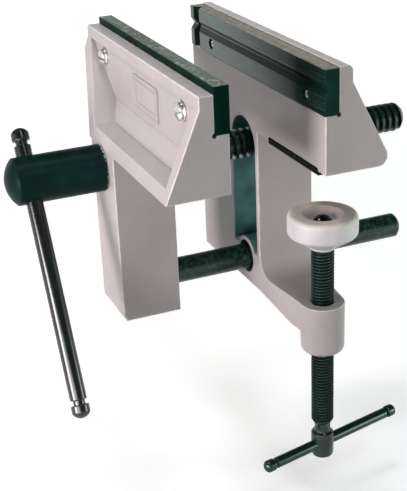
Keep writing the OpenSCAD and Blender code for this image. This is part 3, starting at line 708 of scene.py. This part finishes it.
def slotted_head(bm, radius, side, rise, slot, place):
    """Round head with a dome and a slot along local x, its flat underside at height 0."""
    width, depth = slot
    half = width / 2
    floor = side + rise - depth
    dome = (radius ** 2 + rise ** 2) / (2 * rise)
    span = radius * OUTERMOST_ROW - half
    outside = [half + span * math.sin(math.pi / 2 * i / DOME_STEPS) for i in range(DOME_STEPS + 1)]
    stations = [(-y, False) for y in reversed(outside)]
    stations += [(-half, True), (half, True)]
    stations += [(y, False) for y in outside]
    rings = []
    for y, in_slot in stations:
        reach = math.sqrt(radius ** 2 - y ** 2)
        ring = [Vector((-reach, y, 0))]
        for i in range(ROW_STEPS + 1):
            x = reach * math.sin(math.pi * (i / ROW_STEPS - 0.5))
            height = side + rise - dome + math.sqrt(dome ** 2 - x * x - y * y)
            ring.append(Vector((x, y, min(height, floor) if in_slot else height)))
        rings.append(ring + [Vector((reach, y, 0))])
    loft(bm, rings, place)


def make_plate_fasteners(jaw, side, turns):
    """Slotted screws with domed heads, and flat washers, of one jaw plate.

    The heads look towards a side of X, and each screw's slot is turned by its angle in degrees.
    """
    low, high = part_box(jaw + "_plate_washers")
    bottom, seat = sorted(side * corner.x for corner in (low, high))
    outer = (high.z - low.z) / 2
    z = (low.z + high.z) / 2
    places = [along((side, 0, 0), (0, y, z)) for y in (low.y + outer, high.y - outer)]
    screw_low, screw_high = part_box(jaw + "_plate_screws")
    tip, crown = sorted(side * corner.x for corner in (screw_low, screw_high))
    head = (screw_high.z - screw_low.z) / 2
    rise = (crown - seat) * HEAD_DOME_SHARE
    shank = [(SCREW_RADIUS, tip + TIP_LENGTH), (SCREW_RADIUS, seat + OVERLAP)]
    at_seat = Matrix.Translation((0, 0, seat))
    at_tip = Matrix.Translation((0, 0, tip + TIP_LENGTH)) @ Matrix.Rotation(math.pi, 4, "X")
    screws = bmesh.new()
    for place, turn in zip(places, turns):
        twist = Matrix.Rotation(math.radians(turn), 4, "Z")
        slotted_head(screws, head, crown - seat - rise, rise, HEAD_SLOT, place @ at_seat @ twist)
        lathe(screws, shank, place, SHANK_SIDES)
        slotted_head(screws, SCREW_RADIUS, TIP_SIDE, TIP_RISE, TIP_SLOT, place @ at_tip @ twist)
    stand_for(object_from(jaw + "_slotted_screws", screws, ZINC), jaw + "_plate_screws")

    lip = WASHER_LIP
    bore = SCREW_RADIUS + WASHER_PLAY
    section = [
        (outer - lip, bottom), (outer, bottom + lip), (outer, seat - lip), (outer - lip, seat),
        (bore + lip, seat), (bore, seat - lip), (bore, bottom + lip), (bore + lip, bottom),
    ]
    washers = bmesh.new()
    for place in places:
        ring_solid(washers, [circle(radius, height) for radius, height in section], place)
    stand_for(object_from(jaw + "_flat_washers", washers, ZINC), jaw + "_plate_washers")


make_plate_fasteners("front", -1, turns=(100, 82))
make_plate_fasteners("rear", 1, turns=(78, 96))


# Bare panel, with its corner, and its section of a rim and an inner frame as (inset, height), in millimetres

BADGE_Y = 41.4 * MM
BADGE_Z = 29.8 * MM
BADGE_WIDTH = 35.2 * MM
BADGE_HEIGHT = 17.6 * MM
BADGE_CORNER = 2.0
BADGE_CORNER_LOSS = 0.4
BADGE_SECTION = [
    (0.0, -0.4), (0.0, 0.1), (0.2, 0.75), (0.4, 0.9), (1.0, 0.9), (1.2, 0.75), (1.45, 0.3), (1.7, 0.2),
    (2.6, 0.2), (2.75, 0.3), (2.9, 0.7), (3.05, 0.8), (3.45, 0.8), (3.6, 0.7), (3.75, 0.3), (3.95, 0.2),
    (4.4, 0.2),
]
CORNER_STEPS = 6


def rounded_rectangle(width, height, radius, depth):
    """Points round a rectangle with round corners, in the plane of local x and y."""
    points = []
    for corner, (sx, sy) in enumerate(((1, 1), (-1, 1), (-1, -1), (1, -1))):
        for step in range(CORNER_STEPS + 1):
            angle = math.pi / 2 * (corner + step / CORNER_STEPS)
            points.append(Vector((
                sx * (width / 2 - radius) + radius * math.cos(angle),
                sy * (height / 2 - radius) + radius * math.sin(angle),
                depth,
            )))
    return points


def make_badge():
    """Bare raised panel with a rim and an inner frame, cast on the front pocket's wall."""
    wall_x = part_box("front_plate_washers")[1].x
    out_of_wall = Matrix(((0, 0, -1, 0), (-1, 0, 0, 0), (0, 1, 0, 0), (0, 0, 0, 1)))
    place = Matrix.Translation((wall_x, BADGE_Y, BADGE_Z)) @ out_of_wall
    rings = []
    for inset, height in BADGE_SECTION:
        less = 2 * inset * MM
        corner = (BADGE_CORNER - inset * BADGE_CORNER_LOSS) * MM
        rings.append(rounded_rectangle(BADGE_WIDTH - less, BADGE_HEIGHT - less, corner, height * MM))
    bm = bmesh.new()
    loft(bm, rings, place)
    badge = object_from("bare_badge_panel", bm, PAINT)
    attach(badge, "moving_jaw")


make_badge()


# Rubber pad

PAD_EDGE = 0.5 * MM
PAD_END_EDGE = 0.8 * PAD_EDGE
PAD_GROOVES = 6
GROOVE_WIDTH = 1.6 * MM
GROOVE_DEPTH = 0.9 * MM


def make_table_pad():
    """Moulded rubber pad with a ribbed underside and soft edges."""
    low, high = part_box("table_pad")
    edge = PAD_EDGE
    outline = [(low.x + edge, high.z), (low.x, high.z - edge), (low.x, low.z + edge), (low.x + edge, low.z)]
    pitch = (high.x - low.x) / (PAD_GROOVES + 1)
    for i in range(1, PAD_GROOVES + 1):
        x = low.x + i * pitch
        outline += [
            (x - GROOVE_WIDTH / 2, low.z), (x - GROOVE_WIDTH / 3, low.z + GROOVE_DEPTH),
            (x + GROOVE_WIDTH / 3, low.z + GROOVE_DEPTH), (x + GROOVE_WIDTH / 2, low.z),
        ]
    outline += [
        (high.x - edge, low.z), (high.x, low.z + edge), (high.x, high.z - edge), (high.x - edge, high.z),
    ]
    middle_x, middle_z = (low.x + high.x) / 2, (low.z + high.z) / 2
    end = PAD_END_EDGE
    rings = []
    for y, inset in ((low.y, end), (low.y + end, 0.0), (high.y - end, 0.0), (high.y, end)):
        rings.append([
            Vector((x - math.copysign(inset, x - middle_x), y, z - math.copysign(inset, z - middle_z)))
            for x, z in outline
        ])
    bm = bmesh.new()
    loft(bm, rings, IN_PLACE)
    stand_for(object_from("ribbed_table_pad", bm, RUBBER), "table_pad")


make_table_pad()


# Threads

CUT_DISTANCE = 1e-7
RIM_DISTANCE = 1e-6


def thread_profile(pitch, depth, crest, flank):
    """One pitch of a thread as (axial share, depth below the crest)."""
    return [(0.0, 0.0), (crest / pitch, 0.0), ((crest + flank) / pitch, depth), (1.0 - flank / pitch, depth)]


def chamfered(radius, start, end, size):
    """Largest radius at a height, for a rod that tapers by size at both ends."""
    def envelope(height):
        return radius - max(0.0, size - (height - start), size - (end - height))
    return envelope


def sweep_thread(bm, start, end, radius, pitch, profile, envelope, segments):
    """Open thread surface that reaches past both heights, no thicker anywhere than envelope(height)."""
    turns = math.ceil((end - start) / pitch) + 2
    rows = []
    for i in range(turns * segments + 1):
        angle = 2 * math.pi * i / segments
        base = start - pitch + pitch * i / segments
        row = []
        for share, depth in profile:
            height = base + share * pitch
            r = min(radius - depth, envelope(height))
            row.append(bm.verts.new((r * math.cos(angle), r * math.sin(angle), height)))
        rows.append(row)
    for i in range(len(rows) - 1):
        for k in range(len(profile) - 1):
            bm.faces.new((rows[i][k], rows[i + 1][k], rows[i + 1][k + 1], rows[i][k + 1]))
        if i + 1 + segments < len(rows):
            bm.faces.new((rows[i][-1], rows[i + 1][-1], rows[i + 1 + segments][0], rows[i + segments][0]))


def cut_flat(bm, height, direction):
    """Cuts off what lies beyond a height, and closes the cut with a flat face."""
    geometry = [*bm.verts, *bm.edges, *bm.faces]
    bmesh.ops.bisect_plane(
        bm, geom=geometry, dist=CUT_DISTANCE, plane_co=(0, 0, height), plane_no=(0, 0, direction),
        clear_outer=True)
    rim = [
        edge for edge in bm.edges
        if edge.is_boundary and all(abs(vert.co.z - height) < RIM_DISTANCE for vert in edge.verts)
    ]
    bmesh.ops.edgeloop_fill(bm, edges=rim)


def helix(bm, start, end, radius, pitch, profile, envelope, place, segments):
    """Right-hand thread between two heights, with flat ends, as the first part of an empty bmesh."""
    sweep_thread(bm, start, end, radius, pitch, profile, envelope, segments)
    cut_flat(bm, start, -1)
    cut_flat(bm, end, 1)
    loose = [vert for vert in bm.verts if not vert.link_faces]
    bmesh.ops.delete(bm, geom=loose, context="VERTS")
    bmesh.ops.transform(bm, matrix=place, verts=bm.verts)


# Main screw

JOURNAL_RADIUS = 7.0 * MM
SHOULDER_PLAY = 0.2 * MM
SPINDLE_PITCH = 4 * MM
SPINDLE_PROFILE = thread_profile(SPINDLE_PITCH, depth=2.25 * MM, crest=1.45 * MM, flank=0.6 * MM)
SPINDLE_CHAMFER = 2.5 * MM
SPINDLE_SEGMENTS = 48


def make_spindle():
    """Main screw with a trapezoidal thread and its plain journal."""
    low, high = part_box("spindle")
    radius = (high.z - low.z) / 2
    place = along((1, 0, 0), Vector((0, (low.y + high.y) / 2, (low.z + high.z) / 2)))
    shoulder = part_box("rear_thrust_washer")[1].x + SHOULDER_PLAY
    envelope = chamfered(radius, shoulder, high.x, SPINDLE_CHAMFER)
    bm = bmesh.new()
    helix(bm, shoulder, high.x, radius, SPINDLE_PITCH, SPINDLE_PROFILE, envelope, place, SPINDLE_SEGMENTS)
    lathe(bm, [(JOURNAL_RADIUS, low.x), (JOURNAL_RADIUS, shoulder + OVERLAP)], place)
    stand_for(object_from("spindle_thread", bm, THREAD_BLACK), "spindle")


make_spindle()


# Clamp screw, with its head's length, and profile as (radius, height above its end), in millimetres

CLAMP_RADIUS = 6.0 * MM
CLAMP_PITCH = 1.75 * MM
CLAMP_PROFILE = thread_profile(CLAMP_PITCH, depth=1.07 * MM, crest=0.24 * MM, flank=0.61 * MM)
CLAMP_CHAMFER = 1.0 * MM
CLAMP_SEGMENTS = 40
SPIGOT_RADIUS = 4.0 * MM
SPIGOT_ROOT = 0.5 * MM
DISC_PLAY = 0.1 * MM
HEAD_LENGTH = 22.0
HEAD_PROFILE = [
    (2.0, 0.0), (4.7, 0.1), (5.6, 0.7), (6.1, 2.0), (6.1, 14.0), (5.9, 14.6), (5.2, 15.2), (4.5, 15.8),
    (4.25, 16.6), (4.25, 19.5), (4.6, 20.8), (5.2, 21.8), (4.6, HEAD_LENGTH + 0.5),
]
HEAD_SIDES = 48


def make_clamp_screw():
    """Clamp screw with a metric thread, a spigot for the disc, a neck and a round head."""
    low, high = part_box("clamp_screw")
    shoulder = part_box("clamp_pad")[0].z - DISC_PLAY
    neck_top = low.z + HEAD_LENGTH * MM
    envelope = chamfered(CLAMP_RADIUS, neck_top, shoulder, CLAMP_CHAMFER)
    head = [(radius * MM, low.z + height * MM) for radius, height in HEAD_PROFILE]
    bm = bmesh.new()
    helix(
        bm, neck_top, shoulder, CLAMP_RADIUS, CLAMP_PITCH, CLAMP_PROFILE, envelope, IN_PLACE, CLAMP_SEGMENTS)
    lathe(bm, [(SPIGOT_RADIUS, shoulder - SPIGOT_ROOT), (SPIGOT_RADIUS, high.z)], IN_PLACE)
    lathe(bm, head, IN_PLACE, HEAD_SIDES)
    stand_for(object_from("clamp_screw_thread", bm, THREAD_BLACK), "clamp_screw")


make_clamp_screw()


# Studio floor, below the clamp screw's lowest place

CLAMP_LIFT = next(joint for joint in BEHAVIOUR["joints"] if joint["name"] == "clamp_lift")
FLOOR_GAP = 0.5 * MM
FLOOR_Z = CAD_BOX[0].z + min(CLAMP_LIFT["range_m"]) - FLOOR_GAP
FLOOR_RADIUS = 6.0
FLOOR_THICKNESS = 0.01
FLOOR_GREY = (0.30, 0.30, 0.30)
FLOOR_WHITE = (0.85, 0.85, 0.85)
FLOOR_GLOW = (0.42, 1.0)
FLOOR_GLOW_REACH = (0.25, 1.2)


def background_rays(nodes):
    """Value socket that is 1 for rays that show the background: seen, mirrored or through glass."""
    rays = nodes.add("ShaderNodeLightPath").outputs
    seen = rays["Is Camera Ray"]
    for name in ("Is Glossy Ray", "Is Transmission Ray"):
        seen = nodes.combine("MAXIMUM", seen, rays[name])
    return seen


def floor_material():
    """Floor that keeps the object's shadow, grey as a reflector, and white where it is seen or mirrored."""
    shader = Shader("studio_floor", FLOOR_GREY, roughness=0.9, specular=0.0)
    seen = background_rays(shader)
    shader.feed("Base Color", shader.mix(seen, FLOOR_GREY, FLOOR_WHITE))
    distance = shader.add("ShaderNodeVectorMath", operation="LENGTH")
    shader.link(shader.place, distance.inputs[0])
    glow = shader.spread(distance.outputs["Value"], *FLOOR_GLOW, FLOOR_GLOW_REACH)
    shader.set(Emission_Color=(1.0, 1.0, 1.0, 1.0))
    shader.feed("Emission Strength", shader.combine("MULTIPLY", seen, glow))
    return shader.material


def make_floor():
    """Round floor, which isn't part of the object."""
    bm = bmesh.new()
    lathe(bm, [(FLOOR_RADIUS, FLOOR_Z - FLOOR_THICKNESS), (FLOOR_RADIUS, FLOOR_Z)], IN_PLACE)
    floor = object_from("studio_floor", bm, floor_material())


make_floor()


# Studio room and lamps, with colours from straight down, at 0, to straight up, at 1

ROOM_LEVELS = [(0.50, (0.037, 0.050, 0.046)), (0.62, (0.041, 0.056, 0.051)), (1.0, (0.108, 0.145, 0.135))]
BACKDROP_LEVELS = [(0.0, (1.0, 1.0, 1.0)), (0.62, (1.0, 1.0, 1.0)), (0.72, (0.10, 0.11, 0.108))]


def make_world():
    """Weak light from a room that is brightest overhead, and a white backdrop up to some height."""
    world = bpy.data.worlds.new("studio")
    world.use_nodes = True
    bpy.context.scene.world = world
    nodes = NodeTree(world.node_tree)
    direction = nodes.add("ShaderNodeTexCoord").outputs["Generated"]
    height = nodes.spread(nodes.axis(direction, "Z"), 0.0, 1.0, (-1.0, 1.0))
    levels = [nodes.ramp(height, stops) for stops in (ROOM_LEVELS, BACKDROP_LEVELS)]
    colour = nodes.mix(background_rays(nodes), *levels)
    nodes.link(colour, world.node_tree.nodes["Background"].inputs["Color"])


def make_lamp(name, place, size, power, colour, diffuse=True):
    """Soft light of a width and height that looks at the object's middle, or only shows in reflections."""
    middle = (CAD_BOX[0] + CAD_BOX[1]) / 2
    data = bpy.data.lights.new(name, "AREA")
    data.shape = "RECTANGLE"
    data.size, data.size_y = size
    data.energy = power
    data.color = colour
    lamp = bpy.data.objects.new(name, data)
    lamp.visible_diffuse = diffuse
    place = Vector(place)
    facing = (place - middle).to_track_quat("Z", "Y").to_matrix().to_4x4()
    lamp.matrix_world = Matrix.Translation(place) @ facing
    bpy.context.scene.collection.objects.link(lamp)


make_world()
make_lamp("key", (-0.73, -0.17, 0.01), (0.24, 0.32), 4.8, (1.0, 0.90, 0.915))
make_lamp("over_the_jaw", (-0.48, 0.24, 0.78), (0.16, 0.16), 2.5, (1.0, 0.94, 0.94))
make_lamp("side_fill", (0.55, -0.35, -0.05), (0.30, 0.30), 2.0, (0.97, 1.0, 0.95))
make_lamp("near_top", (0.05, -0.60, 0.75), (0.20, 0.20), 1.3, (0.84, 0.96, 1.0))
make_lamp("top", (-0.04, 0.02, 0.90), (0.20, 0.20), 2.1, (1.0, 0.96, 0.98))
make_lamp("gloss_panel", (-0.66, -0.58, 0.05), (0.85, 0.45), 9.0, (1.0, 0.98, 0.97), diffuse=False)
bpy.context.scene.view_settings.view_transform = "Standard"
